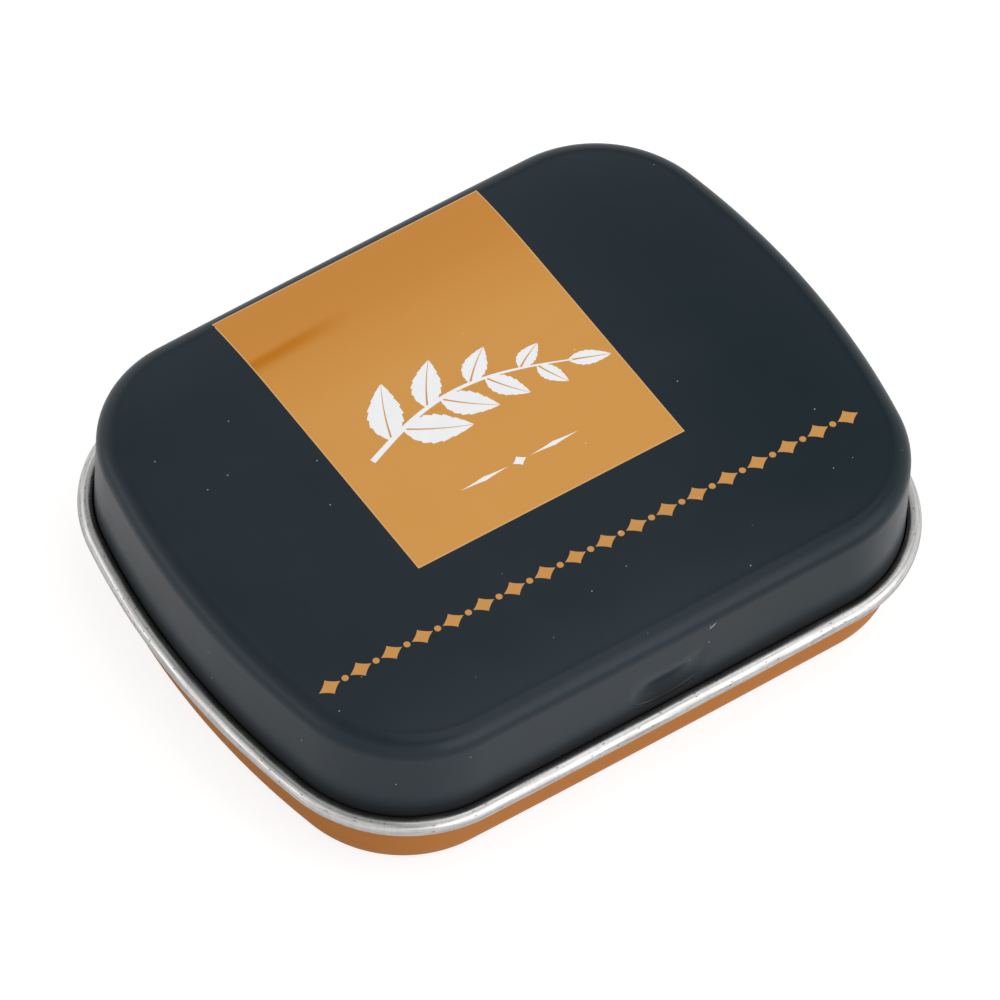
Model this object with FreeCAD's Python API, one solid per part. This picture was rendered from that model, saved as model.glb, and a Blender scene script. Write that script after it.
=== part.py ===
"""Shut mint tin of printed tinplate: a drawn lid, curled outward at its rim, hinged on a shallow drawn base.

Origin at the middle of the underside, +X along the length, +Y towards the hinge, +Z up. Millimetres.
Every upright section is drawn as (reach, z): reach is measured square to the lid's outline, outward positive,
from the outside of the lid wall, and z is the height above the surface that the tin stands on.
The tin is shut, so both pieces are solid inside and meet face to face at the seat.
"""
import FreeCAD, Part
import math
import os

os.makedirs("parts", exist_ok=True)

# ---- outline of the lid wall -----------------------------------------------------------------
lid_length = 59.4           # across the bowed ends
lid_width = 46.0            # front to back
end_bow_radius = 68.5       # the two short sides are bowed out
side_bow_radius = 2000.0    # the two long sides are almost straight
corner_radius = 10.8

# ---- heights and sheet -----------------------------------------------------------------------
tin_height = 17.0           # underside of the base to the flat of the lid
rim_height = 7.0            # underside of the base to the middle of the curled rim
sheet = 0.24                # tinplate with its print

# ---- lid -------------------------------------------------------------------------------------
edge_radius = 1.75          # turn from the wall into the top
shoulder_slope = 8.0        # degrees that the top has fallen away to where it meets that turn
flat_corner_radius = 1.6    # left at the corners of the flat, inside the shoulder
rim_radius = 0.77           # outside of the curled rim
rim_turn = 302.0            # degrees that the curl turns through, short of closing on the wall
groove_floor = 0.1          # below the middle of the rim, where the open curl is closed off

# ---- catch: a nail nick pressed into the front wall, just above the rim ----------------------
nick_depth = 0.55           # where it is deepest
nick_rise = 0.9             # from the lip up to the deepest place
nick_punch_radius = 11.0    # of the barrel-shaped punch, seen from above
nick_bulge_radius = 5.0     # of the punch's bulge, seen from the side
nick_lip_radius = 5.4       # of the curved lip, seen from the front
nick_gap = 0.4              # between the top of the rim and the lip

# ---- base ------------------------------------------------------------------------------------
fit_clearance = 0.3         # between the lid's skirt and the base's wall
base_edge_radius = 2.5      # round bottom edge

# ---- hinge: two straps of the base's sheet, out through slots and curled round the rim -------
strap_spacing = 24.0        # between the middles of the straps
strap_width = 5.6
strap_turn = 215.0          # degrees that a strap turns round the rim
strap_root = 0.6            # length of a strap on the base, inside the wall
strap_clearance = 0.06      # between strap and rim
slot_clearance = 0.25       # beside and above a strap

# ---- worked out from these -------------------------------------------------------------------
UP = FreeCAD.Vector(0, 0, 1)
ORIGIN = FreeCAD.Vector(0, 0, 0)
side_centre_y = lid_width / 2 - side_bow_radius
end_centre_x = lid_length / 2 - end_bow_radius
base_reach = -sheet - fit_clearance
seat_height = rim_height + rim_radius + strap_clearance


def corner_centre():
    """Centre of the right-hand back corner, a corner radius inside both bows, so that all the arcs are tangent."""
    to_side = side_bow_radius - corner_radius
    to_end = end_bow_radius - corner_radius
    apart = math.hypot(end_centre_x, side_centre_y)
    along = (to_side ** 2 - to_end ** 2 + apart ** 2) / (2 * apart)
    across = math.sqrt(to_side ** 2 - along ** 2)
    unit_x = end_centre_x / apart
    unit_y = -side_centre_y / apart
    return along * unit_x + across * unit_y, side_centre_y + along * unit_y - across * unit_x


def outline_arcs():
    """The outline's eight tangent arcs, anticlockwise from the right-hand end: centre, radius, start and end."""
    x, y = corner_centre()
    low = math.atan2(y, x - end_centre_x)      # where an end meets a corner
    high = math.atan2(y - side_centre_y, x)    # where a corner meets a side
    half = math.pi
    return [
        ((end_centre_x, 0), end_bow_radius, -low, low),
        ((x, y), corner_radius, low, high),
        ((0, side_centre_y), side_bow_radius, high, half - high),
        ((-x, y), corner_radius, half - high, half - low),
        ((-end_centre_x, 0), end_bow_radius, half - low, half + low),
        ((-x, -y), corner_radius, half + low, half + high),
        ((0, -side_centre_y), side_bow_radius, half + high, 2 * half - high),
        ((x, -y), corner_radius, 2 * half - high, 2 * half - low),
    ]


def plate(reach, bottom, top):
    """Upright prism inside the outline moved out by reach, which adds reach to the radius of every arc."""
    edges = []
    for (x, y), radius, start, end in outline_arcs():
        circle = Part.Circle(FreeCAD.Vector(x, y, bottom), UP, radius + reach)
        edges.append(Part.Arc(circle, start, end).toShape())
    return Part.Face(Part.Wire(edges)).extrude(UP * (top - bottom))


def band(section):
    """Pieces of a ring that carries a section round the outline, each revolved about the centre of its own arc."""
    pieces = []
    for (x, y), radius, start, end in outline_arcs():
        centre = FreeCAD.Vector(x, y, 0)
        piece = section.translated(FreeCAD.Vector(radius, 0, 0))
        piece.rotate(ORIGIN, UP, math.degrees(start))
        piece.translate(centre)
        pieces.append(piece.revolve(centre, UP, math.degrees(end - start)))
    return pieces


def at(reach, z):
    """Point of a section."""
    return FreeCAD.Vector(reach, 0, z)


def polar(centre, radius, degrees):
    """Point of a section at a radius and angle about a centre, with 0 degrees outward and 90 degrees up."""
    angle = math.radians(degrees)
    return centre + at(radius * math.cos(angle), radius * math.sin(angle))


def arc(centre, radius, start, end):
    """Arc of a section from one angle to another, either way round."""
    middle = polar(centre, radius, (start + end) / 2)
    return Part.Arc(polar(centre, radius, start), middle, polar(centre, radius, end)).toShape()


def path(*points):
    """Straight edges of a section from point to point."""
    return [Part.LineSegment(a, b).toShape() for a, b in zip(points, points[1:])]


def across_back(section, middle_x, width):
    """A section stood square to the back wall and run along it for a width."""
    bow = side_bow_radius - math.sqrt(side_bow_radius ** 2 - middle_x ** 2)
    piece = section.rotated(ORIGIN, UP, 90)
    piece.translate(FreeCAD.Vector(middle_x - width / 2, lid_width / 2 - bow, 0))
    return piece.extrude(FreeCAD.Vector(width, 0, 0))


# Middle of the curled rim: the outside of the curl runs on from the inside of the wall.
rim_middle = at(rim_radius - sheet, rim_height)
rim_bore = rim_radius - sheet
strap_inside = rim_radius + strap_clearance
strap_outside = strap_inside + sheet
strap_places = (-strap_spacing / 2, strap_spacing / 2)


def lid_section():
    """Section of the lid from the flat round the shoulder, the wall and the curl to the seat, and its inner reach."""
    slope = math.radians(shoulder_slope)
    flat_reach = flat_corner_radius - corner_radius
    edge_reach = edge_radius * (1 - math.sin(slope))
    shoulder_radius = (-flat_reach - edge_reach) / math.sin(slope)
    shoulder_middle = at(flat_reach, tin_height - shoulder_radius)
    turn_start = polar(shoulder_middle, shoulder_radius, 90 - shoulder_slope)
    edge_middle = polar(turn_start, -edge_radius, 90 - shoulder_slope)
    curl_end = 180 + rim_turn
    groove_end = 360 - math.degrees(math.asin(groove_floor / rim_bore))
    edges = [arc(shoulder_middle, shoulder_radius, 90, 90 - shoulder_slope)]
    edges += [arc(edge_middle, edge_radius, 90 - shoulder_slope, 0)]
    edges += path(at(0, edge_middle.z), at(0, rim_height - groove_floor), polar(rim_middle, rim_bore, groove_end))
    edges += [arc(rim_middle, rim_bore, groove_end, curl_end)]
    edges += path(polar(rim_middle, rim_bore, curl_end), polar(rim_middle, rim_radius, curl_end))
    edges += [arc(rim_middle, rim_radius, curl_end, 180)]
    edges += path(at(-sheet, rim_height), at(-sheet, seat_height), at(flat_reach, seat_height),
                  at(flat_reach, tin_height))
    return Part.Face(Part.Wire(edges)), flat_reach


def nail_nick():
    """Cutter for the catch: a barrel-shaped punch, deepest a little above a curved lip and kept above it."""
    lip_z = rim_height + rim_radius + nick_gap
    wall_y = -lid_width / 2
    bulge_middle = at(nick_punch_radius - nick_bulge_radius, 0)
    top = bulge_middle + at(0, nick_bulge_radius)
    bottom = bulge_middle - at(0, nick_bulge_radius)
    edges = [arc(bulge_middle, nick_bulge_radius, -90, 90)]
    edges += path(top, at(0, nick_bulge_radius), at(0, -nick_bulge_radius), bottom)
    barrel = Part.Face(Part.Wire(edges)).revolve(ORIGIN, UP, 360)
    barrel.translate(FreeCAD.Vector(0, wall_y + nick_depth - nick_punch_radius, lip_z + nick_rise))
    lip_middle = FreeCAD.Vector(0, wall_y + nick_punch_radius, lip_z + nick_lip_radius)
    lip = Part.makeCylinder(nick_lip_radius, 3 * nick_punch_radius, lip_middle, FreeCAD.Vector(0, -1, 0))
    return barrel.common(lip)


def strap_section():
    """Section of a hinge strap: from its root on the base, over the rim, round it and tucked in below."""
    end = 90 - strap_turn
    root = base_reach - strap_root
    edges = path(at(root, seat_height), at(root, seat_height + sheet), polar(rim_middle, strap_outside, 90))
    edges += [arc(rim_middle, strap_outside, 90, end)]
    edges += path(polar(rim_middle, strap_outside, end), polar(rim_middle, strap_inside, end))
    edges += [arc(rim_middle, strap_inside, end, 90)]
    edges += path(polar(rim_middle, strap_inside, 90), at(root, seat_height))
    return Part.Face(Part.Wire(edges))


def slot_section():
    """Section of the way that the lid leaves for a strap, from its root out through the wall."""
    root = base_reach - strap_root - slot_clearance
    top = seat_height + sheet + slot_clearance
    edges = path(at(root, seat_height), at(root, top), at(rim_radius, top), at(rim_radius, seat_height),
                 at(root, seat_height))
    return Part.Face(Part.Wire(edges))


def base_section():
    """Section of the base from its flat underside round the bottom edge and up to the seat, and its inner reach."""
    edge_middle = at(base_reach - base_edge_radius, base_edge_radius)
    inside = edge_middle.x - sheet
    edges = [arc(edge_middle, base_edge_radius, 0, -90)]
    edges += path(at(edge_middle.x, 0), at(inside, 0), at(inside, seat_height), at(base_reach, seat_height),
                  at(base_reach, base_edge_radius))
    return Part.Face(Part.Wire(edges)), inside


def make_lid():
    section, inner_reach = lid_section()
    lid = plate(inner_reach, seat_height, tin_height).fuse(band(section))
    slots = [across_back(slot_section(), x, strap_width + 2 * slot_clearance) for x in strap_places]
    return lid.cut([nail_nick()] + slots).removeSplitter()


def make_base():
    section, inner_reach = base_section()
    straps = [across_back(strap_section(), x, strap_width) for x in strap_places]
    base = plate(inner_reach, 0, seat_height).fuse(band(section) + straps)
    return base.removeSplitter()


for name, shape in (("lid", make_lid()), ("base", make_base())):
    assert len(shape.Solids) == 1 and shape.isValid(), f"{name}: {len(shape.Solids)} solids"
    solid = shape.Solids[0]
    solid.exportStep(f"parts/{name}.step")
    print(f"{name}: {solid.Volume:.1f} mm3, {len(solid.Faces)} faces")
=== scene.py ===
"""Shut mint tin of printed tinplate: a painted lid, curled outward at its rim, on a copper-coloured base.

Metres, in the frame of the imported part: origin under the middle, +X along the length, +Y towards the hinge.
Every upright section is drawn as (reach, z): reach is measured square to the lid's outline, outward positive,
from the outside of the lid wall. Depth is measured into the sheet, square to its painted face.
"""

import math

import bpy
import numpy as np
from mathutils import Matrix, Vector


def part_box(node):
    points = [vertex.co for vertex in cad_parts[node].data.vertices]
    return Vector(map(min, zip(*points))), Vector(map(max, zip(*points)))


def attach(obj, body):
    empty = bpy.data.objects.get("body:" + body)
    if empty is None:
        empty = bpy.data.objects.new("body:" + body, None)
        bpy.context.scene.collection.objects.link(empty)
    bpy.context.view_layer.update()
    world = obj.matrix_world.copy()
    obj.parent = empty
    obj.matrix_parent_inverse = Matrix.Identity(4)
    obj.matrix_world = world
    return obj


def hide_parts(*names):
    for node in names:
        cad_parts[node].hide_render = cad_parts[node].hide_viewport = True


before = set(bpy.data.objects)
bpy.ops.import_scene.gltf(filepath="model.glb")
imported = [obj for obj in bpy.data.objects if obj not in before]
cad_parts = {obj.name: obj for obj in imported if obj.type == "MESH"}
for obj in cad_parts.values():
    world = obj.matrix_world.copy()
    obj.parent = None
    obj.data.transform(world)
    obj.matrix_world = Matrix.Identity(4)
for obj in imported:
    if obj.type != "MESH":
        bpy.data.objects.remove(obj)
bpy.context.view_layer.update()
MM = 0.001

# ---- Lid sheet -------------------------------------------------------------------------------
# One blank of bare tinplate, drawn into a lid with falling shoulders and curled outward at its rim, so that
# the sheet's unprinted inner side goes round the tin as a bright bead. A nail nick is pressed into the front
# wall, and two slots at the back let the hinge straps through.

lid_low, lid_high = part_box("lid")
sheet = 0.24 * MM
rim_radius = 0.77 * MM
rim_bore = rim_radius - sheet
rim_height = 7.0 * MM
rim_turn = 302.0                         # degrees, short of closing on the wall
tin_height = lid_high.z
overhang = 2 * rim_radius - sheet        # of the bead, outside the wall
lid_length = lid_high.x - lid_low.x - 2 * overhang
lid_width = lid_high.y - lid_low.y - 2 * overhang
end_bow_radius = 68.5 * MM
side_bow_radius = 2000.0 * MM
corner_radius = 10.8 * MM

flat_reach = -9.2 * MM                   # where the flat gives way to the shoulder
shoulder_slope = math.radians(8.0)
edge_radius = 1.75 * MM
edge_reach = edge_radius * (math.sin(shoulder_slope) - 1)
shoulder_radius = (edge_reach - flat_reach) / math.sin(shoulder_slope)
edge_height = tin_height - (shoulder_radius - edge_radius) * (1 - math.cos(shoulder_slope)) - edge_radius

ink_depth = 0.02 * MM                    # print lies flush with the part's own face, paint just below it
paint_depth = 0.05 * MM

nick_depth = 0.55 * MM
nick_step = 0.56                         # share of the depth that is taken at the lip
nick_rise = 0.9 * MM                     # from the lip up to the deepest place
nick_ledge = 0.05 * MM                   # height in which the lip turns in
nick_crest = 0.015 * MM                  # softness of the lip's crest
nick_height = 4.0 * MM                   # from the lip up to where it has come out again
nick_half = 3.7 * MM                     # half its width, as far as the rows follow the lip
nick_fade = 12.0 * MM                    # beside that, where the rows come level again
nick_gap = 0.4 * MM                      # from the top of the bead up to the lip
nick_lip_radius = 5.4 * MM
nick_lip_z = rim_height + rim_radius + nick_gap

strap_places = (-12.0 * MM, 12.0 * MM)
strap_width = 5.6 * MM
strap_clearance = 0.06 * MM              # between strap and bead
slot_clearance = 0.25 * MM
seat_height = rim_height + rim_radius + strap_clearance
slot_top = seat_height + sheet + slot_clearance

flat_rows = 5                            # rows of the grid on each stretch of the section
shoulder_rows = 16
edge_rows = 18
wall_rows = [7, 14, 18, 12, 3, 3, 5]
curl_rows = 32
end_steps = 24                           # columns on each stretch of the outline
corner_steps = 36
front_steps = [22, 60, 22]               # beside the nick, across it and beside it
back_steps = [6, 14, 16]                 # from a corner to a slot, across it and on to the middle
crease = math.radians(40.0)              # sharper edges than this aren't shaded smooth
tiny = 1e-9

line_share = 0.8                         # of the drawn lines in the tinplate's tone, over the marks across
edge_highlight_inset = 0.02 * MM                  # of the painted highlight line, from the cut edge, and half its width
edge_highlight_half = 0.05 * MM


def ramp(value, start, end):
    """Smooth step: 0 before start, 1 after end, and 3t^2 - 2t^3 between."""
    t = np.clip((value - start) / (end - start), 0, 1)
    return t * t * (3 - 2 * t)


def outline_arcs():
    """The outline's eight tangent arcs, anticlockwise from the right-hand end: centre, radius, start, end."""
    end_x = lid_length / 2 - end_bow_radius
    side_y = lid_width / 2 - side_bow_radius
    to_side = side_bow_radius - corner_radius
    to_end = end_bow_radius - corner_radius
    apart = math.hypot(end_x, side_y)
    along = (to_side ** 2 - to_end ** 2 + apart ** 2) / (2 * apart)
    across = math.sqrt(to_side ** 2 - along ** 2)
    x = (along * end_x - across * side_y) / apart
    y = side_y - (along * side_y + across * end_x) / apart
    low = math.atan2(y, x - end_x)
    high = math.atan2(y - side_y, x)
    return [
        ((end_x, 0), end_bow_radius, -low, low),
        ((x, y), corner_radius, low, high),
        ((0, side_y), side_bow_radius, high, math.pi - high),
        ((-x, y), corner_radius, math.pi - high, math.pi - low),
        ((-end_x, 0), end_bow_radius, math.pi - low, math.pi + low),
        ((-x, -y), corner_radius, math.pi + low, math.pi + high),
        ((0, -side_y), side_bow_radius, math.pi + high, 2 * math.pi - high),
        ((x, -y), corner_radius, 2 * math.pi - high, 2 * math.pi - low),
    ]


def runs(stops, counts):
    """Values that go evenly from stop to stop, in the given numbers of steps, without the last stop."""
    pairs = zip(stops, stops[1:], counts)
    return np.concatenate([np.linspace(a, b, count, endpoint=False) for a, b, count in pairs])


def outline_columns():
    """Columns round the outline, from the middle of the back: centre x, centre y, radius and angle of each.

    A column's point at reach r is centre + (radius + r) (cos angle, sin angle). Columns are evenly spaced on
    an arc, but have stops at the slots' edges in the back, and crowd together at the nick in the front."""
    slot_half = strap_width / 2 + slot_clearance
    left, right = strap_places
    columns = []
    for place, ((x, y), radius, start, end) in enumerate(outline_arcs()):
        if place == 2:
            half = radius * math.cos(start)
            stops = [half, right + slot_half, right - slot_half, 0, left + slot_half, left - slot_half, -half]
            angle = np.arccos(runs(stops, back_steps + back_steps[::-1]) / radius)
        elif place == 6:
            half = radius * math.cos(end)
            stops = [-half, -nick_half, nick_half, half]
            angle = -np.arccos(runs(stops, front_steps) / radius)
        else:
            steps = corner_steps if place % 2 else end_steps
            angle = np.linspace(start, end, steps, endpoint=False)
        columns.append(np.stack([np.full_like(angle, x), np.full_like(angle, y),
                                 np.full_like(angle, radius), angle]))
    first = columns[0].shape[1] + columns[1].shape[1] + sum(back_steps)
    return np.roll(np.concatenate(columns, axis=1), -first, axis=1)


def carry(columns, reach, z, share):
    """Carries a section round the outline: a grid of points, one row for each point of the section.

    Share draws a row in towards the tin's middle, so that a share of 0 closes a flat in a pole."""
    x, y, radius, angle = columns
    out = radius + reach[:, None]
    share = share[:, None]
    points_x = share * (x + out * np.cos(angle))
    points_y = share * (y + out * np.sin(angle))
    return np.stack([points_x, points_y, np.broadcast_to(z[:, None], points_x.shape)], axis=2)


def bend(middle, radius, start, end, steps):
    """Points of a section on an arc about a middle, angles in radians, 0 outward and a quarter turn up."""
    angle = np.linspace(start, end, steps)
    return middle[0] + radius * np.cos(angle), middle[1] + radius * np.sin(angle)


def section(parts):
    """Joins runs of points, each (reach, z), into one section: its reach, its z, and the share of each row.

    Share goes up evenly from 0 over the first flat_rows points, the flat, which closes it in a pole."""
    reach = np.concatenate([part[0] for part in parts])
    z = np.concatenate([part[1] for part in parts])
    share = np.ones_like(reach)
    share[:flat_rows] = np.linspace(0, 1, flat_rows, endpoint=False)
    return reach, z, share


def lid_line(depth):
    """Section of the lid at a depth in its sheet, from the middle of the flat to the cut edge of the curl.

    The flat, then an arc of shoulder_radius, an arc of edge_radius, the upright wall, and the curl, whose arc
    runs on from the wall at rim_bore. Going into the sheet takes depth off the outer bends and adds it to
    the curl."""
    quarter = math.pi / 2
    parts = [(np.full(flat_rows, flat_reach), np.full(flat_rows, tin_height - depth))]
    shoulder_middle = (flat_reach, tin_height - shoulder_radius)
    parts.append(bend(shoulder_middle, shoulder_radius - depth, quarter, quarter - shoulder_slope,
                      shoulder_rows))
    edge_middle = (-edge_radius, edge_height)
    parts.append(bend(edge_middle, edge_radius - depth, quarter - shoulder_slope, 0, edge_rows))
    wall_stops = [edge_height, nick_lip_z + nick_height, nick_lip_z + nick_rise, slot_top, nick_lip_z,
                  nick_lip_z - 2 * nick_crest, seat_height, rim_height]
    wall = runs(wall_stops, wall_rows)
    parts.append((np.full_like(wall, -depth), wall))
    parts.append(bend((rim_bore, rim_height), rim_bore + depth, math.pi, math.pi + math.radians(rim_turn),
                      curl_rows))
    return section(parts)


def press_nick(points):
    """Presses the nail nick into the front wall of a lid's grid of points.

    Rows are first lifted to follow the lip, an arc of nick_lip_radius. With h the height above the lip, the
    lip takes nick_step of the depth as 1 - exp(-h / nick_ledge), the scoop takes the rest as half a cosine
    wave up to nick_rise and shoals as another up to nick_height. It fades as (1 - (x / nick_half)^2)^1.5. The
    crest is rounded by taking (h + sqrt(h^2 + nick_crest^2)) / 2 for h."""
    x, y, z = points[..., 0], points[..., 1], points[..., 2]
    front = (np.abs(x) < nick_half + nick_fade) & (z > rim_height) & (z < edge_height)
    front &= (y > -lid_width / 2 - ink_depth) & (y < -lid_width / 2 + 2 * sheet)
    near = np.minimum(np.abs(x), nick_half)
    bow = nick_lip_radius - np.sqrt(nick_lip_radius ** 2 - near ** 2)
    lift = bow * (1 - ramp(np.abs(x), nick_half, nick_half + nick_fade))
    below = (z - rim_height) / (nick_lip_z - rim_height)
    above = (edge_height - z) / (edge_height - nick_lip_z)
    z += np.where(front, lift * np.clip(np.minimum(below, above), 0, 1), 0)
    height = z - nick_lip_z - bow
    inward = (height + np.sqrt(height ** 2 + nick_crest ** 2)) / 2
    step = (1 - np.exp(-inward / nick_ledge)) * ramp(height, -2 * nick_crest, 0)
    deepening = (1 - np.cos(math.pi * np.clip(height / nick_rise, 0, 1))) / 2
    rise = nick_step * step + (1 - nick_step) * deepening
    shoal = (1 + np.cos(math.pi * np.clip((height - nick_rise) / (nick_height - nick_rise), 0, 1))) / 2
    across = np.clip(1 - (x / nick_half) ** 2, 0, 1) ** 1.5
    y += np.where(front, nick_depth * rise * shoal * across, 0)
    return points


def wrapped(name, rows, lengths=None, holes=()):
    """Closed mesh from a grid whose first and last rows are poles and whose columns go round.

    Each cell's face goes row, next row, next column, so that it faces along row x column. Holes are pairs of
    (first row, last row), (first column, last column) that go through to the mirrored rows. Lengths are the
    distances along the rows and round the columns, which make a UV map in metres."""
    count, around = rows.shape[:2]
    points = np.concatenate([rows[0, :1], rows[1:-1].reshape(-1, 3), rows[-1, :1]])
    last = len(points) - 1
    here = np.arange(around)
    after = (here + 1) % around
    i, j = np.meshgrid(np.arange(1, count - 2), here, indexing="ij")
    kept = np.ones(i.shape, bool)
    walls = []
    for (row_a, row_b), (col_a, col_b) in holes:
        for a, b in ((row_a, row_b), (count - 1 - row_b, count - 1 - row_a)):
            kept[a - 1:b - 1, col_a:col_b] = False
        rim = [(row_a, c) for c in range(col_a, col_b)] + [(r, col_b) for r in range(row_a, row_b)]
        rim += [(row_b, c) for c in range(col_b, col_a, -1)] + [(r, col_a) for r in range(row_b, row_a, -1)]
        for (ra, ca), (rb, cb) in zip(rim, rim[1:] + rim[:1]):
            walls.append([1 + (ra - 1) * around + ca, 1 + (rb - 1) * around + cb,
                          1 + (count - 2 - rb) * around + cb, 1 + (count - 2 - ra) * around + ca])
    i, j = i[kept], j[kept]
    step = (j + 1) % around
    base = 1 + (i - 1) * around
    quads = np.stack([base + j, base + around + j, base + around + step, base + step], axis=1)
    start_fan = np.stack([np.zeros(around, int), 1 + here, 1 + after], axis=1)
    end_base = 1 + (count - 3) * around
    end_fan = np.stack([np.full(around, last), end_base + after, end_base + here], axis=1)
    mesh = bpy.data.meshes.new(name)
    mesh.from_pydata(points.tolist(), [], start_fan.tolist() + end_fan.tolist() + quads.tolist() + walls)
    mesh.update()
    if lengths is not None:
        along, round_it = lengths
        u = np.zeros(len(mesh.loops))
        v = np.zeros(len(mesh.loops))
        first = start_fan.size + end_fan.size
        u[first:first + 4 * len(i)] = round_it[np.stack([j, j, j + 1, j + 1], axis=1)].ravel()
        v[first:first + 4 * len(i)] = along[np.stack([i, i + 1, i + 1, i], axis=1)].ravel()
        layer = mesh.uv_layers.new(name="sheet")
        layer.data.foreach_set("uv", np.stack([u, v], axis=1).astype(np.float32).ravel())
    return mesh


def finished(name, mesh, material):
    """Object at the origin with its mesh shaded smooth, except at edges sharper than crease."""
    mesh.polygons.foreach_set("use_smooth", np.ones(len(mesh.polygons), bool))
    mesh.set_sharp_from_angle(angle=crease)
    mesh.materials.append(material)
    piece = bpy.data.objects.new(name, mesh)
    bpy.context.scene.collection.objects.link(piece)
    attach(piece, "root")
    return piece


def lid_sheet(outer_depth, inner_depth):
    """Rows of a layer of the lid between two depths: out along one face, round its edge and back."""
    faces = [press_nick(carry(columns, *lid_line(depth))) for depth in (outer_depth, inner_depth)]
    return np.concatenate([faces[0], faces[1][::-1]])


def slot_holes():
    """Rows and columns that a slot takes out of the lid's grid: seat to slot top, and a strap wide."""
    reach, z = lid_line(0)[:2]
    wall = np.flatnonzero(np.abs(reach) < tiny)
    row_a = wall[np.argmin(np.abs(z[wall] - slot_top))]
    row_b = wall[np.argmin(np.abs(z[wall] - seat_height))]
    x = columns[0] + columns[2] * np.cos(columns[3])
    y = columns[1] + columns[2] * np.sin(columns[3])
    behind = np.where(y > 0, x, np.inf)
    half = strap_width / 2 + slot_clearance
    holes = []
    for place in strap_places:
        col_a = int(np.argmin(np.abs(behind - place - half)))
        col_b = int(np.argmin(np.abs(behind - place + half)))
        holes.append(((int(row_a), int(row_b)), (col_a, col_b)))
    return holes


def node(tree, kind, *links, **settings):
    """Shader node of a kind, with inputs as (socket, value or another node's output) and its settings."""
    made = tree.nodes.new(kind)
    for key, value in settings.items():
        setattr(made, key, value)
    for socket, value in links:
        if isinstance(value, bpy.types.NodeSocket):
            tree.links.new(value, made.inputs[socket])
        else:
            made.inputs[socket].default_value = value
    return made


def maths(tree, operation, *values):
    """Result of one sum on numbers or other nodes' outputs."""
    return node(tree, "ShaderNodeMath", *enumerate(values), operation=operation).outputs["Value"]


def parted(tree, vector):
    """The three numbers of a vector."""
    outputs = node(tree, "ShaderNodeSeparateXYZ", ("Vector", vector)).outputs
    return outputs["X"], outputs["Y"], outputs["Z"]


def graded(tree, value, start, end, low=0.0, high=1.0, smooth=False):
    """Goes from low to high while a value goes from start to end, evenly or as 3t^2 - 2t^3."""
    made = node(tree, "ShaderNodeMapRange", ("Value", value), ("From Min", start), ("From Max", end),
                ("To Min", low), ("To Max", high), interpolation_type="SMOOTHSTEP" if smooth else "LINEAR")
    return made.outputs["Result"]


def mixed(tree, factor, first, second):
    """Colour that goes from the first to the second as factor goes from 0 to 1."""
    ends = [end if isinstance(end, bpy.types.NodeSocket) else (*end, 1) for end in (first, second)]
    made = node(tree, "ShaderNodeMix", ("Factor", factor), ("A", ends[0]), ("B", ends[1]), data_type="RGBA")
    return next(socket for socket in made.outputs if socket.type == "RGBA")


def stretched(tree, place, scale):
    """Coordinates multiplied along each axis, so that a pattern is drawn out where the scale is small."""
    return node(tree, "ShaderNodeMapping", ("Vector", place), ("Scale", scale)).outputs["Vector"]


def noise(tree, place, scale, detail, roughness=0.5):
    """Smooth noise from 0 to 1, with its largest features 1 / scale metres wide."""
    made = node(tree, "ShaderNodeTexNoise", ("Vector", place), ("Scale", scale), ("Detail", detail),
                ("Roughness", roughness))
    return made.outputs["Fac"]


def specks(tree, place, scale, size, share, channel, dimensions="3D"):
    """1 in scattered specks and 0 between them.

    Scale is in cells for each metre. A speck lies within size, a share of a cell, of a cell's point, where
    that channel of the cell's chance colour is below share."""
    cells = node(tree, "ShaderNodeTexVoronoi", ("Vector", place), ("Scale", scale),
                 voronoi_dimensions=dimensions).outputs
    chance = node(tree, "ShaderNodeSeparateColor", ("Color", cells["Color"])).outputs[channel]
    return maths(tree, "MULTIPLY", maths(tree, "LESS_THAN", cells["Distance"], size),
                 maths(tree, "LESS_THAN", chance, share))


def emboss(tree, shader, height, strength, distance):
    """Gives a surface fine relief from a height of 0 to 1 over a distance."""
    bump = node(tree, "ShaderNodeBump", ("Height", height), ("Strength", strength), ("Distance", distance))
    tree.links.new(bump.outputs["Normal"], shader.inputs["Normal"])


def blank_material(name):
    """New material with a Principled surface: its tree and that shader."""
    material = bpy.data.materials.new(name)
    material.use_nodes = True
    shader = material.node_tree.nodes["Principled BSDF"]
    return material, material.node_tree, shader


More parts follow.
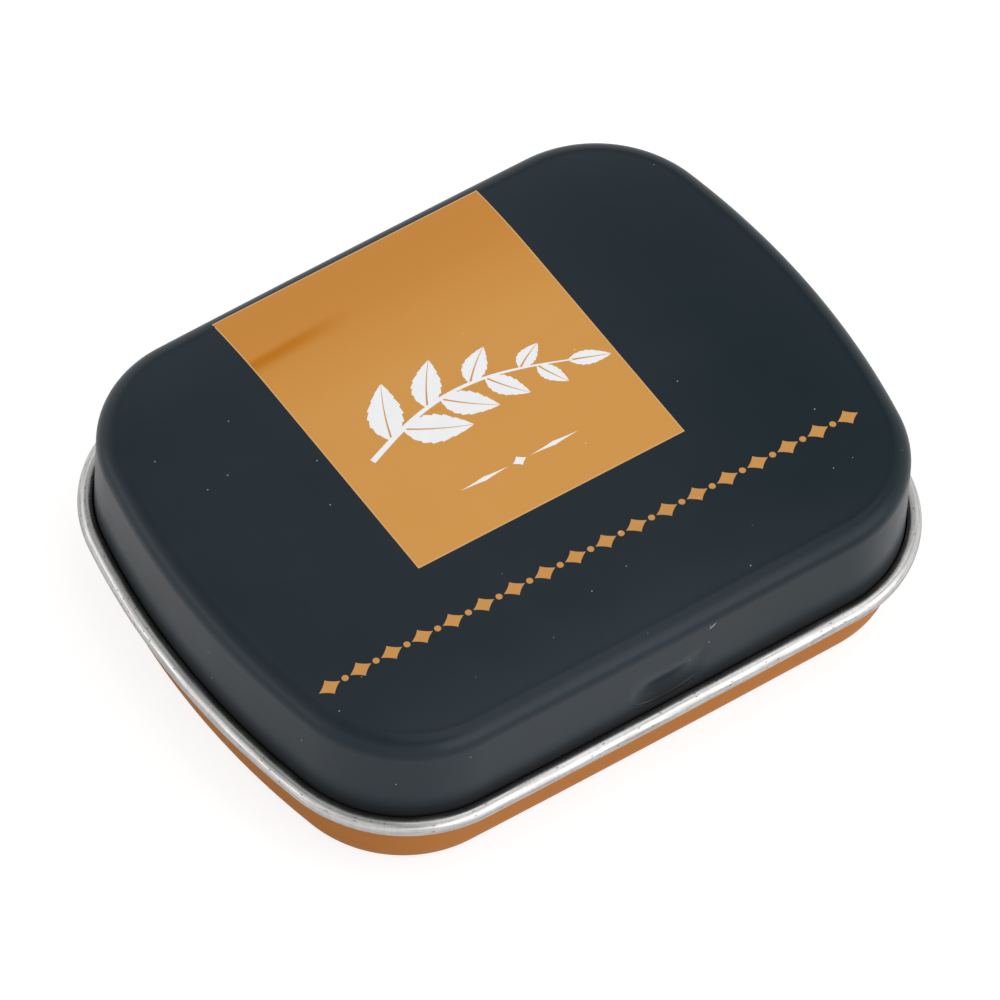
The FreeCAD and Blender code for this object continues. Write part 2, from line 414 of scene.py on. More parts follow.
def bare_tinplate():
    """Bright rolled tinplate: fine drawn lines along the rim, marks across its bend, dark pits, some dulling.

    A painted highlight runs as a paler line along the sheared corner of the curl."""
    material, tree, shader = blank_material("bare tinplate")
    place = node(tree, "ShaderNodeUVMap", uv_map="sheet").outputs["UV"]
    marks = noise(tree, stretched(tree, place, (1.0, 0.12, 1.0)), 2600.0, 3.0, 0.6)
    lines = noise(tree, stretched(tree, place, (0.035, 1.0, 1.0)), 5200.0, 2.0)
    drawn = maths(tree, "MULTIPLY_ADD", lines, line_share, maths(tree, "MULTIPLY", marks, 1 - line_share))
    tone = mixed(tree, graded(tree, drawn, 0.37, 0.63), (0.41, 0.405, 0.40), (0.685, 0.68, 0.665))
    pits = specks(tree, stretched(tree, place, (0.35, 1.0, 1.0)), 2600.0, 0.12, 0.26, "Red", "2D")
    tone = mixed(tree, pits, tone, (0.25, 0.245, 0.24))
    down = parted(tree, place)[1]
    # Painted highlight: a pale line along the cut edge of the curl.
    edge_highlight = maths(tree, "COMPARE", down, cut_edge - edge_highlight_inset, edge_highlight_half)
    tone = mixed(tree, edge_highlight, tone, (0.93, 0.93, 0.92))
    tree.links.new(tone, shader.inputs["Base Color"])
    rough = graded(tree, noise(tree, place, 420.0, 4.0), 0.3, 0.7, 0.22, 0.36)
    tree.links.new(rough, shader.inputs["Roughness"])
    emboss(tree, shader, maths(tree, "ADD", marks, lines), 0.35, 0.02 * MM)
    shader.inputs["Metallic"].default_value = 1.0
    return material


columns = outline_columns()
lid_rows = lid_sheet(paint_depth, sheet)
lid_steps = np.linalg.norm(np.diff(lid_rows[:, 0], axis=0), axis=1)
rim_points = carry(columns, np.zeros(1), np.zeros(1), np.ones(1))[0]
round_steps = np.linalg.norm(np.roll(rim_points, -1, axis=0) - rim_points, axis=1)
lid_lengths = (np.append(0, np.cumsum(lid_steps)), np.append(0, np.cumsum(round_steps)))
cut_edge = lid_lengths[0][len(lid_line(0)[0]) - 1]
slots = slot_holes()
tinplate = bare_tinplate()
lid_tinplate = finished("lid_tinplate", wrapped("lid_tinplate", lid_rows, lid_lengths, slots), tinplate)
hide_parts("lid")

# ---- Lid paint -------------------------------------------------------------------------------
# Dark blue-grey satin enamel, rolled on the flat sheet before it was drawn, so that it covers the outside
# of the lid and turns with the sheet into the curl. Fine orange peel, and a little dust lies on it.

painted_shade_slant = -0.35                      # painted shade: the enamel is painted darker along x plus this times y
painted_shade_reach = (5 * MM, 30 * MM)          # from the lightest to the darkest of the painted shade
lip_highlight_height = 0.10 * MM               # of the painted highlight line, above the nick's lip
lip_highlight_width = 0.065 * MM
lip_highlight_fade = (1.9 * MM, 3.0 * MM)      # distance from the middle over which the painted highlight dies out
lip_highlight_inset = 2 * MM                   # reaches this far in from the front wall
scratch_middle = (4.07 * MM, -23.0 * MM, 14.46 * MM)
scratch_slope = math.radians(32.5)
scratch_half = (0.36 * MM, 0.6 * MM, 0.045 * MM)  # half its length, reach into the sheet, half its width
foot_shade_heights = (8.0 * MM, 9.6 * MM)      # painted shade: dark below, beside the bead, plain above
grime_heights = (7.8 * MM, 10.6 * MM)    # dull with grime below, satin above


def length_of(tree, vector):
    """Length of a vector."""
    return node(tree, "ShaderNodeVectorMath", (0, vector), operation="LENGTH").outputs["Value"]


def satin_enamel():
    """Dark satin enamel: soft mottling, orange peel a third of a millimetre wide, and pale specks of dust.

    The enamel is painted darker towards the right-hand end, as painted shade. A pale painted highlight runs
    along the inner corner of the nick's lip, an arc about a point above it, and one short scratch, a long
    thin ellipsoid, is rubbed pale. Grime dulls the foot of the wall, and painted shade darkens it beside the
    bead."""
    material, tree, shader = blank_material("satin enamel")
    place = node(tree, "ShaderNodeTexCoord").outputs["Object"]
    x, y, z = parted(tree, place)
    mottle = noise(tree, place, 160.0, 4.0)
    tone = mixed(tree, mottle, (0.0075, 0.0168, 0.0245), (0.0105, 0.0208, 0.0290))
    # Painted shade: the enamel is painted darker towards the right-hand end, where less light falls.
    painted_right_shade = graded(tree, maths(tree, "MULTIPLY_ADD", y, painted_shade_slant, x), *painted_shade_reach, smooth=True)
    tone = mixed(tree, painted_right_shade, tone, (0.0000, 0.0095, 0.0155))
    tone = mixed(tree, specks(tree, place, 560.0, 0.030, 0.5, "Red"), tone, (0.42, 0.45, 0.45))
    # Painted highlight: a pale line along the inner corner of the nick's lip.
    above = maths(tree, "SUBTRACT", z, nick_lip_z + nick_lip_radius)
    away = length_of(tree, node(tree, "ShaderNodeCombineXYZ", ("X", x), ("Z", above)).outputs["Vector"])
    line = maths(tree, "COMPARE", away, nick_lip_radius - lip_highlight_height, lip_highlight_width / 2)
    near = graded(tree, maths(tree, "ABSOLUTE", x), *lip_highlight_fade, 1.0, 0.0)
    front = maths(tree, "LESS_THAN", y, -lid_width / 2 + lip_highlight_inset)
    lip_highlight = maths(tree, "MULTIPLY", maths(tree, "MULTIPLY", line, front), near)
    tone = mixed(tree, lip_highlight, tone, (0.15, 0.16, 0.165))
    beside = node(tree, "ShaderNodeMapping", ("Vector", place), ("Location", scratch_middle),
                  ("Rotation", (0, -scratch_slope, 0)), ("Scale", scratch_half), vector_type="TEXTURE")
    scratch = maths(tree, "LESS_THAN", length_of(tree, beside.outputs["Vector"]), 1.0)
    tone = mixed(tree, scratch, tone, (0.50, 0.51, 0.50))
    # Painted shade: the enamel is painted dark at the foot of the wall, beside the bead.
    tone = mixed(tree, graded(tree, z, *foot_shade_heights, smooth=True), (0.007, 0.008, 0.009), tone)
    tree.links.new(tone, shader.inputs["Base Color"])
    rough = graded(tree, mottle, 0.3, 0.7, 0.29, 0.35)
    grime = graded(tree, z, *grime_heights, 0.45, 0.0, smooth=True)
    tree.links.new(maths(tree, "ADD", rough, grime), shader.inputs["Roughness"])
    emboss(tree, shader, noise(tree, place, 2800.0, 2.0), 0.12, 0.02 * MM)
    shader.inputs["IOR"].default_value = 1.34
    return material


paint_rows = lid_sheet(ink_depth, paint_depth)
lid_paint = finished("lid_paint", wrapped("lid_paint", paint_rows, None, slots), satin_enamel())
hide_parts("lid")

# ---- Base ------------------------------------------------------------------------------------
# A shallow pan drawn from tinplate printed copper-coloured on its outside, with a round bottom edge. Its
# wall goes up inside the lid's skirt with a little clearance.

fit_clearance = 0.3 * MM                 # inside the lid's skirt
base_reach = -sheet - fit_clearance
base_edge_radius = 2.5 * MM
base_edge_rows = 22
base_wall_rows = 10


def base_line(depth):
    """Section of the base at a depth in its sheet: its floor from the middle, the round edge and the wall."""
    middle = (base_reach - base_edge_radius, base_edge_radius)
    parts = [(np.full(flat_rows, middle[0]), np.full(flat_rows, depth))]
    parts.append(bend(middle, base_edge_radius - depth, -math.pi / 2, 0, base_edge_rows))
    wall = np.linspace(base_edge_radius, seat_height, base_wall_rows)[1:]
    parts.append((np.full_like(wall, base_reach - depth), wall))
    return section(parts)


def copper_ink(name, dark, light, roughness, gloss, peel_strength):
    """Copper-coloured ink under clear varnish: faint clouds of tone, fine orange peel, a few specks of dust.

    Gives the material, its tree, its shader, the coordinates that it reads and its colour."""
    material, tree, shader = blank_material(name)
    place = node(tree, "ShaderNodeTexCoord").outputs["Object"]
    tone = mixed(tree, noise(tree, place, 120.0, 5.0), dark, light)
    tone = mixed(tree, specks(tree, place, 430.0, 0.024, 0.9, "Green"), tone, (0.85, 0.68, 0.48))
    tree.links.new(tone, shader.inputs["Base Color"])
    emboss(tree, shader, noise(tree, place, 1600.0, 2.0), peel_strength, 0.02 * MM)
    shader.inputs["Roughness"].default_value = roughness
    shader.inputs["Specular IOR Level"].default_value = gloss
    return material, tree, shader, place, tone


base_rows = np.concatenate([carry(columns, *base_line(sheet)), carry(columns, *base_line(0))[::-1]])
base_ink = copper_ink("copper base", (0.465, 0.178, 0.044), (0.500, 0.198, 0.054), 0.34, 0.05, 0.10)[0]
base_pan = finished("base_pan", wrapped("base_pan", base_rows), base_ink)
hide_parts("base")

# ---- Hinge straps ----------------------------------------------------------------------------
# Two tongues of the base's own sheet, bent out over the lid's bead through the slots and curled down round
# it, so that the bead turns in them. The bare inner side of the sheet is outward.

strap_root = 0.6 * MM                    # its length inside the wall
strap_turn = math.radians(215.0)
strap_edge = 0.05 * MM                   # radius of its corners
strap_run = 5 * MM                       # about its whole length
root_rows = 8
turn_rows = 40
strap_columns = 24


def capped(rows):
    """Rows with a pole put before the first and after the last, at the mean point of each."""
    poles = [np.broadcast_to(rows[k].mean(axis=0), rows[k].shape)[None] for k in (0, -1)]
    return np.concatenate([poles[0], rows, poles[1]])


def strap_rows(place):
    """Rows of one strap: a rounded strip section carried along the strap's middle line, closed at both ends.

    The middle line goes straight out over the rim and then round it on one arc. At each point the section
    lies across it: the strap's width along x, its thickness along the line's normal."""
    radius = rim_radius + strap_clearance + sheet / 2
    level = rim_height + radius
    straight = np.linspace(base_reach - strap_root, rim_bore, root_rows)[:-1]
    angle = np.linspace(math.pi / 2, math.pi / 2 - strap_turn, turn_rows)
    reach = np.append(straight, rim_bore + radius * np.cos(angle))
    z = np.append(np.full_like(straight, level), rim_height + radius * np.sin(angle))
    tilt = np.append(np.full_like(straight, math.pi / 2), angle)
    turn = np.linspace(0, 2 * math.pi, strap_columns, endpoint=False)
    corner_x = np.sign(np.cos(turn)) * (strap_width / 2 - strap_edge)
    corner_n = np.sign(np.sin(turn)) * (sheet / 2 - strap_edge)
    section_x = corner_x + strap_edge * np.cos(turn)
    section_n = corner_n + strap_edge * np.sin(turn)
    order = np.argsort(np.arctan2(section_n * strap_width / sheet, section_x))
    section_x, section_n = section_x[order], section_n[order]
    bow = side_bow_radius - math.sqrt(side_bow_radius ** 2 - place ** 2)
    x = place + np.broadcast_to(section_x, (len(reach), len(section_x)))
    y = lid_width / 2 - bow + reach[:, None] + section_n * np.cos(tilt)[:, None]
    height = z[:, None] + section_n * np.sin(tilt)[:, None]
    rows = np.stack([x, y, height], axis=2)
    return capped(rows)[:, ::-1]


for side, place in zip(("left", "right"), strap_places):
    rows = strap_rows(place)
    lengths = (np.linspace(0, strap_run, len(rows)), np.linspace(0, 2 * strap_width, rows.shape[1] + 1))
    strap = finished(f"hinge_strap_{side}", wrapped(f"hinge_strap_{side}", rows, lengths), tinplate)
    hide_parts("base")

# ---- Copper panel ----------------------------------------------------------------------------
# A field of glossy copper-coloured ink, printed on the flat sheet so that it runs over the back shoulder to
# the turn of the edge. It was laid down a third of a degree out of square.

panel_width = 25.3 * MM
panel_front = -7.45 * MM
panel_back = 21.75 * MM
panel_middle_x = -0.6 * MM
panel_depth = panel_back - panel_front
panel_middle = (panel_middle_x, (panel_front + panel_back) / 2)
panel_step = 0.6 * MM                    # between the grid's columns, along the outline
panel_rings = 40                         # rows of the grid from the middle to the outline
border_width = 0.09 * MM
deepening = (8 * MM, 20 * MM)            # painted reflection: where the ink goes from its even tone to its deepest, along y
wedge_slope = 0.045                      # of the painted dark reflection wedge, which runs back a little to the right
wedge_front = 15.6 * MM
wedge_crest = 16.9 * MM
wedge_back = 17.7 * MM
wedge_fade = (-10 * MM, -2 * MM)         # where it dies out, along x
print_turn = math.radians(-0.3)
panel_sink = 0.008 * MM                  # below the part's own face, so that the white ink lies on it
ink_root = 0.028 * MM                    # underside of every mark of ink, just inside the paint


def crown(x, y):
    """Height of the lid's outside above (x, y): flat, then down the shoulder's arc and the edge's arc.

    Reach is the largest distance outside any of the outline's arcs whose sector holds the point."""
    reach = np.full(np.shape(x), flat_reach)
    for (centre_x, centre_y), radius, start, end in outline_arcs():
        angle = np.arctan2(y - centre_y, x - centre_x)
        off = np.abs((angle - (start + end) / 2 + math.pi) % (2 * math.pi) - math.pi)
        distance = np.hypot(x - centre_x, y - centre_y) - radius
        reach = np.where(off <= (end - start) / 2 + tiny, np.maximum(reach, distance), reach)
    shoulder = tin_height - shoulder_radius + np.sqrt(shoulder_radius ** 2 - (reach - flat_reach) ** 2)
    edge = edge_height + np.sqrt(np.clip(edge_radius ** 2 - (reach + edge_radius) ** 2, 0, None))
    return np.where(reach < edge_reach, shoulder, edge)


def printed(x, y):
    """Points of the print as they lie on the lid: turned about the tin's middle by print_turn."""
    return (x * math.cos(print_turn) - y * math.sin(print_turn),
            x * math.sin(print_turn) + y * math.cos(print_turn))


def ink_rows(middle, x, y, rings, depth=0.0):
    """Rows of a flat mark of ink from its middle out to its outline (x, y), and back below the paint's face.

    Each row is the outline drawn in towards the middle by the sine of an even angle, so that rows crowd at
    the outline, and set at a depth below the crown, so that the mark follows the lid."""
    share = np.sin(np.linspace(0, math.pi / 2, rings + 1))[:, None]
    x, y = printed(middle[0] + share * x, middle[1] + share * y)
    height = crown(x, y)
    top = np.stack([x, y, height - depth], axis=2)
    bottom = np.stack([x, y, height - ink_root], axis=2)
    return np.concatenate([top, bottom[::-1]])


def box_outline(width, depth, step):
    """Outline of a rectangle about its own middle, anticlockwise, in steps of about the given length."""
    across = np.linspace(-width / 2, width / 2, round(width / step), endpoint=False)
    up = np.linspace(-depth / 2, depth / 2, round(depth / step), endpoint=False)
    x = np.concatenate([across, np.full_like(up, width / 2), -across, np.full_like(up, -width / 2)])
    y = np.concatenate([np.full_like(across, -depth / 2), up, np.full_like(across, depth / 2), -up])
    return x, y


def panel_ink():
    """Glossy copper ink with painted reflection: deeper towards the back, and a darker wedge at the left
    edge.

    A thin paler line runs along its border, where the ink is drawn thin."""
    material, tree, shader, place, tone = copper_ink("copper panel", (0.662, 0.312, 0.069),
                                                     (0.702, 0.336, 0.082), 0.12, 0.3, 0.04)
    x, y = parted(tree, place)[:2]
    # Painted reflection: the ink is painted deeper towards the back, where the varnish's reflection falls
    # away.
    tone = mixed(tree, graded(tree, y, *deepening, smooth=True), tone, (0.612, 0.253, 0.038))
    # Painted reflection: a darker wedge near the left edge.
    slant = maths(tree, "MULTIPLY_ADD", x, -wedge_slope, y)
    rise = graded(tree, slant, wedge_front, wedge_crest, smooth=True)
    fall = graded(tree, slant, wedge_crest, wedge_back, 1.0, 0.0, smooth=True)
    fade = graded(tree, x, *wedge_fade, 1.0, 0.0, smooth=True)
    dark_reflection_wedge = maths(tree, "MULTIPLY", maths(tree, "MULTIPLY", rise, fall), fade)
    tone = mixed(tree, dark_reflection_wedge, tone, (0.545, 0.182, 0.001))
    square = node(tree, "ShaderNodeMapping", ("Vector", place), ("Location", (*printed(*panel_middle), 0.0)),
                  ("Rotation", (0, 0, print_turn)), ("Scale", (panel_width / 2, panel_depth / 2, 1.0)),
                  vector_type="TEXTURE")
    outward = node(tree, "ShaderNodeVectorMath", (0, square.outputs["Vector"]), operation="ABSOLUTE")
    outermost = maths(tree, "MAXIMUM", *parted(tree, outward.outputs["Vector"])[:2])
    border = maths(tree, "GREATER_THAN", outermost, 1 - 2 * border_width / panel_width)
    tone = mixed(tree, border, tone, (0.74, 0.43, 0.17))
    tree.links.new(tone, shader.inputs["Base Color"])
    return material


panel_outline = box_outline(panel_width, panel_depth, panel_step)
panel_rows = ink_rows(panel_middle, *panel_outline, panel_rings, panel_sink)
finished("copper_panel", wrapped("copper_panel", panel_rows), panel_ink())

# ---- Row of lozenges -------------------------------------------------------------------------
# Small lozenges with dots between them, printed in one row along the front of the lid. Their copper-coloured
# ink lies straight on the dark enamel, with less varnish than the panel's.

row_left = -26.4 * MM
row_right = 24.8 * MM
row_y = -13.1 * MM
lozenge_count = 18
lozenge_length = 2.0 * MM
lozenge_height = 1.5 * MM
hollowness = 2.4                         # of their sides: 2 would be straight
dot_radius = 0.28 * MM
lozenge_points = 32                      # round its outline
lozenge_rings = 3                        # from its middle to its outline
dot_points = 20


def lozenge_outline(length, height):
    """Outline of a lozenge with hollow sides: cos and sin of the turn, each to the power hollowness."""
    turn = np.linspace(0, 2 * math.pi, lozenge_points, endpoint=False)
    x = np.sign(np.cos(turn)) * np.abs(np.cos(turn)) ** hollowness
    y = np.sign(np.sin(turn)) * np.abs(np.sin(turn)) ** hollowness
    return length / 2 * x, height / 2 * y


def dot_outline(radius):
    """Outline of a round dot."""
    turn = np.linspace(0, 2 * math.pi, dot_points, endpoint=False)
    return radius * np.cos(turn), radius * np.sin(turn)


def read(items, field, width, kind):
    """One field of a mesh's points, corners or faces, as an array."""
    values = np.empty(len(items) * width, kind)
    items.foreach_get(field, values)
    return values


def joined(name, meshes):
    """One mesh that holds several, one after another, with the numbers of points and corners moved on."""
    points = np.concatenate([read(mesh.vertices, "co", 3, np.float32) for mesh in meshes])
    first_point = np.cumsum([0] + [len(mesh.vertices) for mesh in meshes])
    first_corner = np.cumsum([0] + [len(mesh.loops) for mesh in meshes])
    corners = [read(mesh.loops, "vertex_index", 1, np.int32) for mesh in meshes]
    starts = [read(mesh.polygons, "loop_start", 1, np.int32) for mesh in meshes]
    corners = np.concatenate([part + first for part, first in zip(corners, first_point)])
    starts = np.concatenate([part + first for part, first in zip(starts, first_corner)])
    for mesh in meshes:
        bpy.data.meshes.remove(mesh)
    whole = bpy.data.meshes.new(name)
    whole.vertices.add(len(points) // 3)
    whole.loops.add(len(corners))
    whole.polygons.add(len(starts))
    whole.vertices.foreach_set("co", points)
    whole.loops.foreach_set("vertex_index", corners.astype(np.int32))
    whole.polygons.foreach_set("loop_start", starts.astype(np.int32))
    whole.update(calc_edges=True)
    return whole


lozenge_x = np.linspace(row_left + lozenge_length / 2, row_right - lozenge_length / 2, lozenge_count)
dot_x = (lozenge_x[1:] + lozenge_x[:-1]) / 2
lozenge = lozenge_outline(lozenge_length, lozenge_height)
marks = [wrapped("mark", ink_rows((x, row_y), *lozenge, lozenge_rings)) for x in lozenge_x]
marks += [wrapped("mark", ink_rows((x, row_y), *dot_outline(dot_radius), 1)) for x in dot_x]
marks_ink = copper_ink("copper marks", (0.600, 0.280, 0.065), (0.650, 0.310, 0.080), 0.22, 0.5, 0.06)[0]
finished("front_lozenges", joined("front_lozenges", marks), marks_ink)

# ---- White sprig -----------------------------------------------------------------------------
# A sprig of mint in opaque white ink, printed over the copper panel: a thin curved stem with pairs of
# pointed, saw-edged leaves that grow smaller towards its tip. The copper shows along each midrib. A small
# rule of the same ink lies below it.

stem_length = 19.0 * MM
stem_rise = 2.4 * MM                     # of the stem's bow, at its middle
stem_width = 0.5 * MM
stem_taper = 0.75                        # share of its width that is gone at the tip
stem_points = 40
stem_root = (-10.4 * MM, 3.2 * MM)
leaf_sink = 0.003 * MM                   # leaves lie just below the stem where they meet
leaf_pairs = 4
leaf_length = 5.6 * MM
leaf_width = 3.0 * MM
leaf_spread = math.radians(52.0)         # between a leaf and the stem
leaf_curl = 0.12                         # sideways at the tip, for each unit of length
leaf_teeth = 7
leaf_points = 6 * leaf_teeth + 1         # along each side of half a leaf
tooth_depth = 0.13                       # share of the leaf's half width
last_tooth = 0.97                        # place along the leaf past which its edge is plain
midrib_gap = 0.17 * MM
leaf_rings = 3
first_leaf = 0.13                        # place along the stem of the first leaf on the left
leaf_stride = 0.22                       # along the stem from pair to pair
leaf_lag = 0.07                          # along the stem from a left leaf to the right leaf of its pair
leaf_shrink = 0.16                       # share of the first leaf's size that each later pair loses
tip_place = 0.985                        # of the single leaf at the stem's tip, and its size beside the first
tip_length = 0.62 * leaf_length
tip_width = 0.5 * leaf_width
rule_middle = (-0.6 * MM, -2.9 * MM)     # a small lozenge between two tapering strokes, below the sprig
rule_lozenge = (1.3 * MM, 1.0 * MM)      # length and height
rule_stroke = (4.6 * MM, 0.42 * MM)
rule_spacing = 3.3 * MM                  # from the lozenge's middle to a stroke's


def stem_point(t):
    """Point and heading of the stem at t from 0 to 1: straight along x, bowed by a half sine of stem_rise."""
    x = stem_root[0] + stem_length * t
    y = stem_root[1] + stem_rise * np.sin(math.pi * t)
    heading = np.arctan2(stem_rise * math.pi * np.cos(math.pi * t), stem_length)
    return x, y, heading


def leaf_half(root, heading, length, width, side, curl):
    """Outline of half a leaf, left (side 1) or right (side -1) of its midrib.

    At s along the midrib, from 0 to 1, the edge stands off by half the width times sin(pi s^0.8)^0.9, less
    a share of it that grows from 0 to tooth_depth along each saw tooth. The inner side keeps half of
    midrib_gap off, tapering to a fifth of that at the tip. Both are carried sideways by curl s^2."""
    s = np.linspace(0, 1, leaf_points)
    tooth = (s * leaf_teeth) % 1
    edge = width / 2 * np.sin(math.pi * s ** 0.8) ** 0.9 * (1 - tooth_depth * tooth * (s < last_tooth))
    gap = midrib_gap / 2 * (1 - 0.8 * s)
    edge = np.maximum(edge, gap)
    out = np.stack([length * s, side * gap + curl * length * s * s])
    back = np.stack([length * s, side * edge + curl * length * s * s])[:, ::-1]
    u, v = np.concatenate([out, back[:, 1:-1]], axis=1)[:, ::side]
    return (root[0] + u * math.cos(heading) - v * math.sin(heading),
            root[1] + u * math.sin(heading) + v * math.cos(heading))


def flat_mark(x, y):
    """Mesh of half a leaf from its outline, which holds its own mean point in view."""
    middle = (x.mean(), y.mean())
    return wrapped("mark", ink_rows(middle, x - middle[0], y - middle[1], leaf_rings, leaf_sink))


def stem_rows():
    """Rows of the stem, one for each place along it: across its top from right to left and back beneath.

    Its half width tapers evenly by stem_taper at the tip, and both ends close in a pole."""
    t = np.linspace(0, 1, stem_points)[:, None]
    x, y, heading = stem_point(t)
    half = stem_width / 2 * (1 - stem_taper * t)
    across = np.array([1, 0.33, -0.33, -1])
    x, y = printed(x + half * across * np.sin(heading), y - half * across * np.cos(heading))
    height = crown(x, y)
    top = np.stack([x, y, height], axis=2)
    bottom = np.stack([x, y, height - ink_root], axis=2)
    return capped(np.concatenate([top, bottom[:, ::-1]], axis=1))


def white_ink():
    """Opaque white ink with a satin varnish: a breath of grey where it covers unevenly."""
    material, tree, shader = blank_material("white ink")
    cloud = noise(tree, node(tree, "ShaderNodeTexCoord").outputs["Object"], 900.0, 4.0)
    tree.links.new(mixed(tree, cloud, (0.90, 0.91, 0.93), (0.97, 0.98, 0.99)), shader.inputs["Base Color"])
    emboss(tree, shader, cloud, 0.08, 0.01 * MM)
    shader.inputs["Roughness"].default_value = 0.35
    return material


sprig_marks = []
for number in range(leaf_pairs):
    grown = 1 - leaf_shrink * number
    for side, lag in ((1, 0.0), (-1, leaf_lag)):
        x, y, heading = stem_point(first_leaf + leaf_stride * number + lag)
        for half in (1, -1):
            outline = leaf_half((x, y), heading + side * leaf_spread, grown * leaf_length, grown * leaf_width,
                                half, -side * leaf_curl)
            sprig_marks.append(flat_mark(*outline))
x, y, heading = stem_point(tip_place)
for half in (1, -1):
    sprig_marks.append(flat_mark(*leaf_half((x, y), heading, tip_length, tip_width, half, 0.0)))
for side, size in ((0, rule_lozenge), (-1, rule_stroke), (1, rule_stroke)):
    middle = (rule_middle[0] + side * rule_spacing, rule_middle[1])
    sprig_marks.append(wrapped("mark", ink_rows(middle, *lozenge_outline(*size), leaf_rings)))
sprig_marks.append(wrapped("mark", stem_rows()))
finished("white_sprig", joined("white_sprig", sprig_marks), white_ink())

# ---- Floor, lamps and camera -----------------------------------------------------------------
# White paper, cut out beneath the tin's flat so that its underside is lit in views from below. A large soft
# box in front, one overhead and a low card at the left stand in a white room. The camera looks down over the
# front left corner.


def seen(tree):
    """1 for rays from the camera, a mirror or a clear thing, which see the white room, and 0 for the rest."""
    path = node(tree, "ShaderNodeLightPath").outputs
    either = maths(tree, "MAXIMUM", path["Is Camera Ray"], path["Is Glossy Ray"])
    return maths(tree, "MAXIMUM", either, path["Is Transmission Ray"])


def floor_paper():
    """White paper that takes the tin's shadow and is clear from below.

    Its light on the tin is that of pale paper. Mirrored, it is whiter, and straight to the camera it mostly
    glows, so that it shows as white with a faint shadow."""
    material = bpy.data.materials.new("floor paper")
    material.use_nodes = True
    tree = material.node_tree
    tree.nodes.clear()
    camera_rays = node(tree, "ShaderNodeLightPath").outputs["Is Camera Ray"]
    shown = node(tree, "ShaderNodeBsdfDiffuse", ("Color", (0.8, 0.8, 0.8, 1))).outputs["BSDF"]
    for rays, grey, strength in ((seen(tree), 0.95, 0.05), (camera_rays, 0.3, 0.82)):
        pale = node(tree, "ShaderNodeBsdfDiffuse", ("Color", (grey, grey, grey, 1)))
        glow = node(tree, "ShaderNodeEmission", ("Color", (1, 1, 1, 1)), ("Strength", strength))
        lit = node(tree, "ShaderNodeAddShader", (0, pale.outputs["BSDF"]), (1, glow.outputs["Emission"]))
        picked = node(tree, "ShaderNodeMixShader", (0, rays), (1, shown), (2, lit.outputs["Shader"]))
        shown = picked.outputs["Shader"]
    below = node(tree, "ShaderNodeNewGeometry").outputs["Backfacing"]
    clear = node(tree, "ShaderNodeBsdfTransparent").outputs["BSDF"]
    both = node(tree, "ShaderNodeMixShader", (0, below), (1, shown), (2, clear))
    node(tree, "ShaderNodeOutputMaterial", ("Surface", both.outputs["Shader"]))
    return material


floor_radius = 1.5
foot_overlap = 0.16 * MM                 # the paper is cut out just inside the tin's flat underside
foot_reach = base_reach - base_edge_radius - foot_overlap
foot = carry(columns, np.full(1, foot_reach), np.zeros(1), np.ones(1))[0]
far = foot * floor_radius / np.linalg.norm(foot, axis=1, keepdims=True)
ring = np.arange(len(foot))
onward = (ring + 1) % len(foot)
floor_mesh = bpy.data.meshes.new("floor")
floor_mesh.from_pydata(np.concatenate([foot, far]).tolist(), [],
                       np.stack([ring, ring + len(foot), onward + len(foot), onward], axis=1).tolist())
floor_mesh.materials.append(floor_paper())
floor = bpy.data.objects.new("floor", floor_mesh)
bpy.context.scene.collection.objects.link(floor)


def studio_world():
    """Room round the tin: white where it is seen, mirrored as white walls under a slightly dimmer ceiling.

    Where it only lights, it is an even pale grey."""
    world = bpy.data.worlds.new("studio")
    world.use_nodes = True
    tree = world.node_tree
    tree.nodes.clear()
    upward = parted(tree, node(tree, "ShaderNodeTexCoord").outputs["Generated"])[2]
    mirrored = graded(tree, upward, 0.45, 0.8, 1.0, 0.47, smooth=True)
    camera_rays = node(tree, "ShaderNodeLightPath").outputs["Is Camera Ray"]
    room, walls, white = [node(tree, "ShaderNodeBackground", ("Color", (1, 1, 1, 1)), ("Strength", strength))
                          for strength in (0.64, mirrored, 1.0)]
    soft = node(tree, "ShaderNodeMixShader", (0, seen(tree)), (1, room.outputs["Background"]),
                (2, walls.outputs["Background"]))
    plain = node(tree, "ShaderNodeMixShader", (0, camera_rays), (1, soft.outputs["Shader"]),
                 (2, white.outputs["Background"]))
    node(tree, "ShaderNodeOutputWorld", ("Surface", plain.outputs["Shader"]))
    return world


bpy.context.scene.world = studio_world()


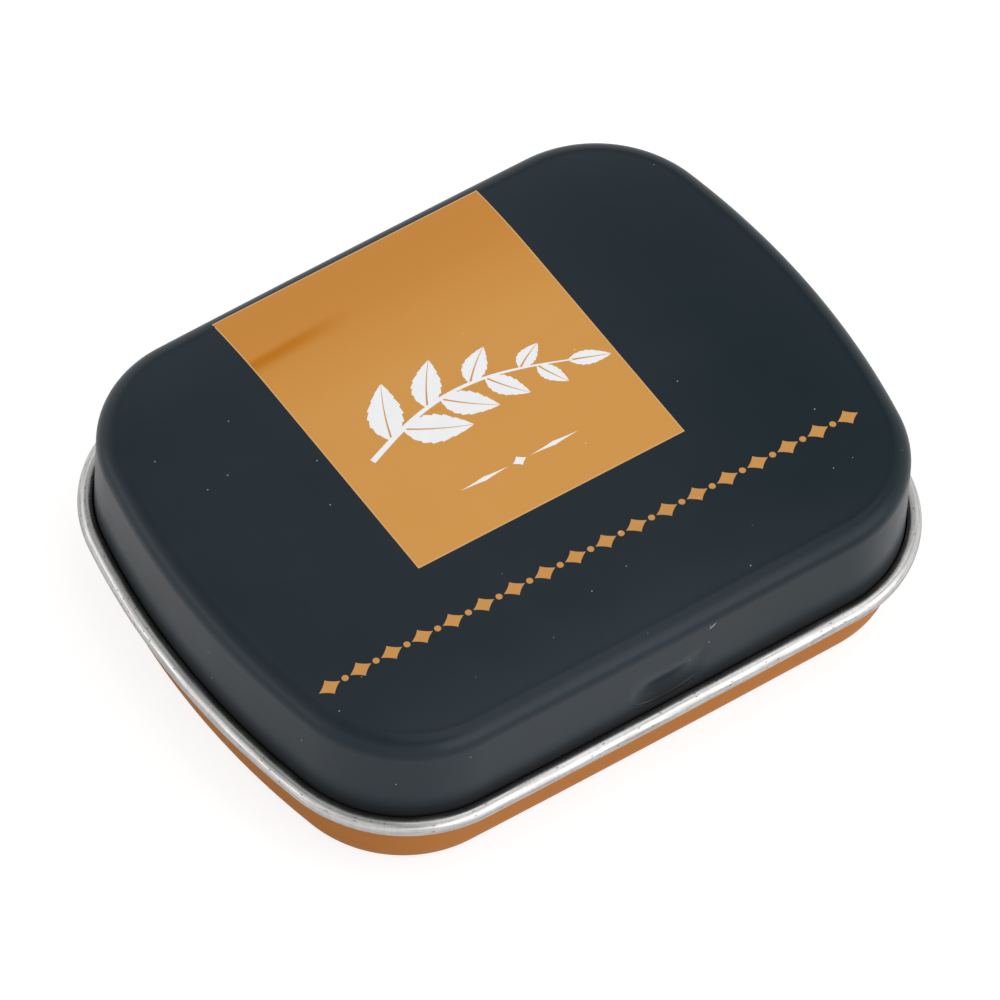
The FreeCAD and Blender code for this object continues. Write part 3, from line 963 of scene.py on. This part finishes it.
def soft_box(name, direction, distance, width, height, radiance):
    """Rectangular soft light that faces the tin's middle from a direction.

    A sheet of radiance L and area A gives pi L A watts."""
    lamp = bpy.data.lights.new(name, "AREA")
    lamp.shape = "RECTANGLE"
    lamp.size = width
    lamp.size_y = height
    lamp.energy = math.pi * radiance * width * height
    thing = bpy.data.objects.new(name, lamp)
    towards = Vector(direction).normalized()
    thing.location = towards * distance
    thing.rotation_euler = towards.to_track_quat("Z", "Y").to_euler()
    bpy.context.scene.collection.objects.link(thing)


# Each has its direction, distance, width, height and radiance.
soft_box("front box", (0.37, -0.85, 0.375), 0.8, 1.0, 0.70, 1.2)
soft_box("overhead box", (0.30, -0.17, 0.935), 0.9, 0.8, 0.70, 0.9)
soft_box("left card", (-0.85, 0.49, 0.17), 0.8, 0.8, 0.26, 0.8)

camera_azimuth = math.radians(-37.582)
camera_elevation = math.radians(52.579)
camera_roll = math.radians(3.857)
camera_distance = 1253.8 * MM
camera_target = Vector((0, 0, 7.92 * MM))
camera_lens = 570.3
aim_left = 0.03 * MM                     # of the aim from the target, and above it, in the picture's plane
aim_up = 0.205 * MM
camera_back = Vector((math.sin(camera_azimuth) * math.cos(camera_elevation),
                      -math.cos(camera_azimuth) * math.cos(camera_elevation), math.sin(camera_elevation)))
level_right = Vector((math.cos(camera_azimuth), math.sin(camera_azimuth), 0))
level_up = camera_back.cross(level_right)
camera_right = math.cos(camera_roll) * level_right + math.sin(camera_roll) * level_up
camera_up = camera_back.cross(camera_right)
lens = bpy.data.cameras.new("camera")
lens.lens = camera_lens
lens.sensor_width = 36.0
lens.clip_start = 0.05
lens.clip_end = 20.0
camera = bpy.data.objects.new("camera", lens)
aim = camera_target - camera_right * aim_left + camera_up * aim_up
turn = Matrix((camera_right, camera_up, camera_back)).transposed().to_4x4()
camera.matrix_world = Matrix.Translation(aim + camera_back * camera_distance) @ turn
bpy.context.scene.collection.objects.link(camera)
bpy.context.scene.camera = camera
bpy.context.scene.view_settings.view_transform = "Standard"
